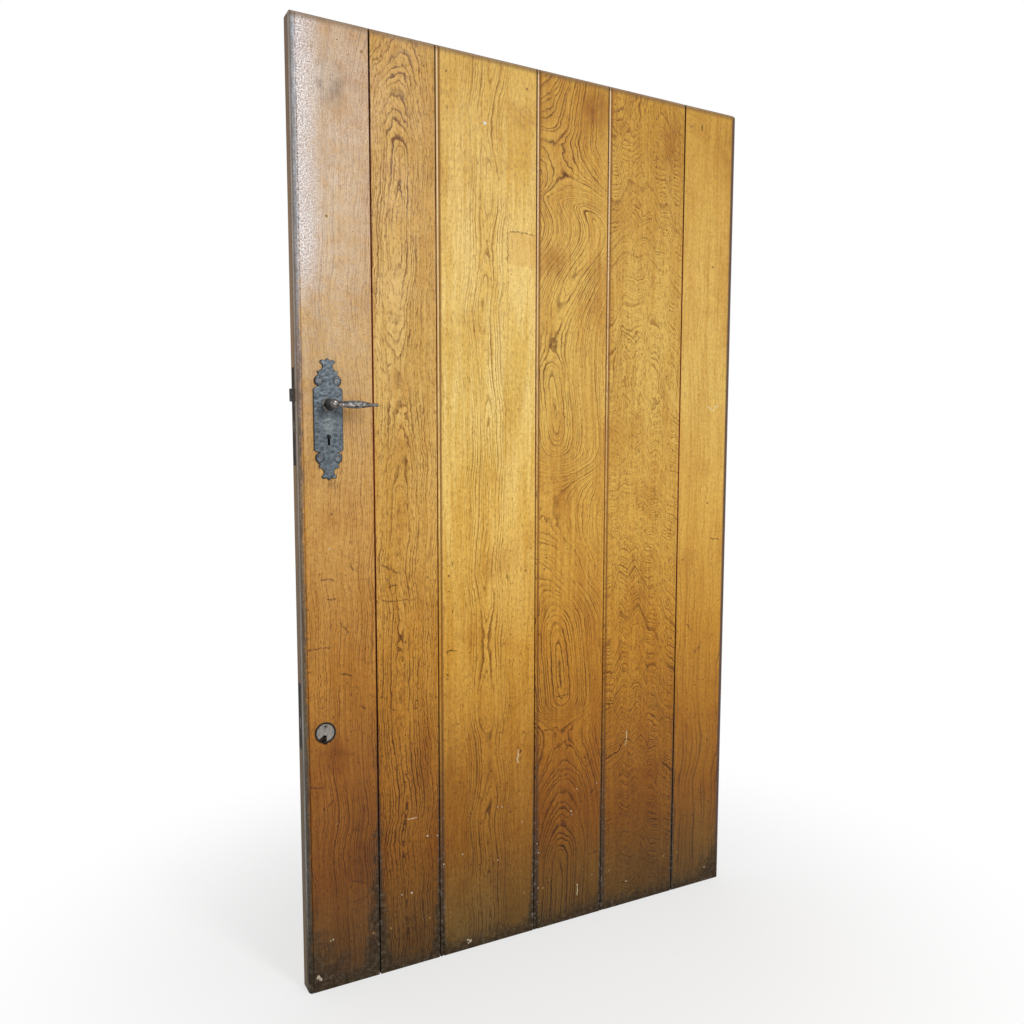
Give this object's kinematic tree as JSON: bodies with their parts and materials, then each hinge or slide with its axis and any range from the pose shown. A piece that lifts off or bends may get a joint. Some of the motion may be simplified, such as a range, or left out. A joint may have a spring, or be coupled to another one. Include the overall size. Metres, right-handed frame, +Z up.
{
  "type": "wooden plank door leaf",
  "caption": "Rectangular oak plank door leaf on a framed back, with forged lever handles, mortise locks and lift-off hinge knuckles.",
  "frame": {"origin": "middle of the bottom edge, half way through the leaf's thickness", "axes": "+Z up the leaf, +X from the closing edge to the hanging edge, -Y out of the front face"},
  "size_m": [1.135, 0.1526, 2],
  "materials": {
    "oak_boards": "aged golden varnish over oak, dirty and worn towards the foot",
    "oak_frame": "aged brown varnish over oak",
    "oak_pegs": "end grain, darker than the frame",
    "nail_iron": "rusted cut nails",
    "forged_iron": "hammered wrought iron, blue-grey",
    "dark_iron": "blackened iron",
    "satin_steel": "worn satin steel",
    "hinge_iron": "dull wrought iron",
    "screw_steel": "dulled steel screws",
    "forend_iron": "blackened and rusted face plate",
    "spring_steel": "blued spring steel",
    "lock_steel": "plain lock steel"
  },
  "bodies": {
    "leaf": {"back_plate": "forged_iron", "back_rose_disc": "satin_steel", "back_rose_pin": "satin_steel", "back_rose_ring": "dark_iron", "board_1": "oak_boards", "board_2": "oak_boards", "board_3": "oak_boards", "board_4": "oak_boards", "board_5": "oak_boards", "board_6": "oak_boards", "board_nails": "nail_iron", "bottom_rail": "oak_frame", "closing_stile": "oak_frame", "forend_screws": "screw_steel", "frame_pegs": "oak_pegs", "front_plate": "forged_iron", "front_rose_disc": "satin_steel", "front_rose_pin": "satin_steel", "front_rose_ring": "dark_iron", "hanging_stile": "oak_frame", "hinge_bottom": "hinge_iron", "hinge_middle": "hinge_iron", "hinge_screws": "screw_steel", "hinge_top": "hinge_iron", "latch_spring": "spring_steel", "lock_case": "lock_steel", "lock_cover": "lock_steel", "lock_cover_screws": "screw_steel", "lock_forend": "forend_iron", "lower_cover_screws": "screw_steel", "lower_forend": "forend_iron", "lower_lock_case": "lock_steel", "lower_lock_cover": "lock_steel", "middle_rail": "oak_frame", "plate_screws": "screw_steel", "top_rail": "oak_frame"},
    "handle": {"front_lever": "forged_iron", "back_lever": "forged_iron", "spindle": "lock_steel", "lever_pins": "screw_steel", "follower": "lock_steel"},
    "latch": {"latch_bolt": "lock_steel"},
    "main_bolt": {"deadbolt": "lock_steel", "deadbolt_spring": "spring_steel"},
    "low_bolt": {"lower_bolt": "lock_steel", "lower_bolt_spring": "spring_steel"}
  },
  "joints": [
    {"name": "handle_turn", "type": "hinge", "parent": "leaf", "child": "handle", "pos_m": [-0.499, 0, 1.2475], "axis": [0, 1, 0], "range_deg": [0, 30], "stiffness_Nm_per_rad": 1.5, "springref_deg": -20.05},
    {"name": "latch_slide", "type": "slide", "parent": "leaf", "child": "latch", "axis": [1, 0, 0], "range_m": [0, 0.008], "deforming": ["latch_spring"]},
    {"name": "deadbolt_throw", "type": "slide", "parent": "leaf", "child": "main_bolt", "axis": [-1, 0, 0], "range_m": [0, 0.014]},
    {"name": "lower_bolt_throw", "type": "slide", "parent": "leaf", "child": "low_bolt", "axis": [-1, 0, 0], "range_m": [0, 0.014]}
  ],
  "couplings": [
    {"joint": "latch_slide", "follows": "handle_turn", "m_per_rad": 0.01527}
  ]
}
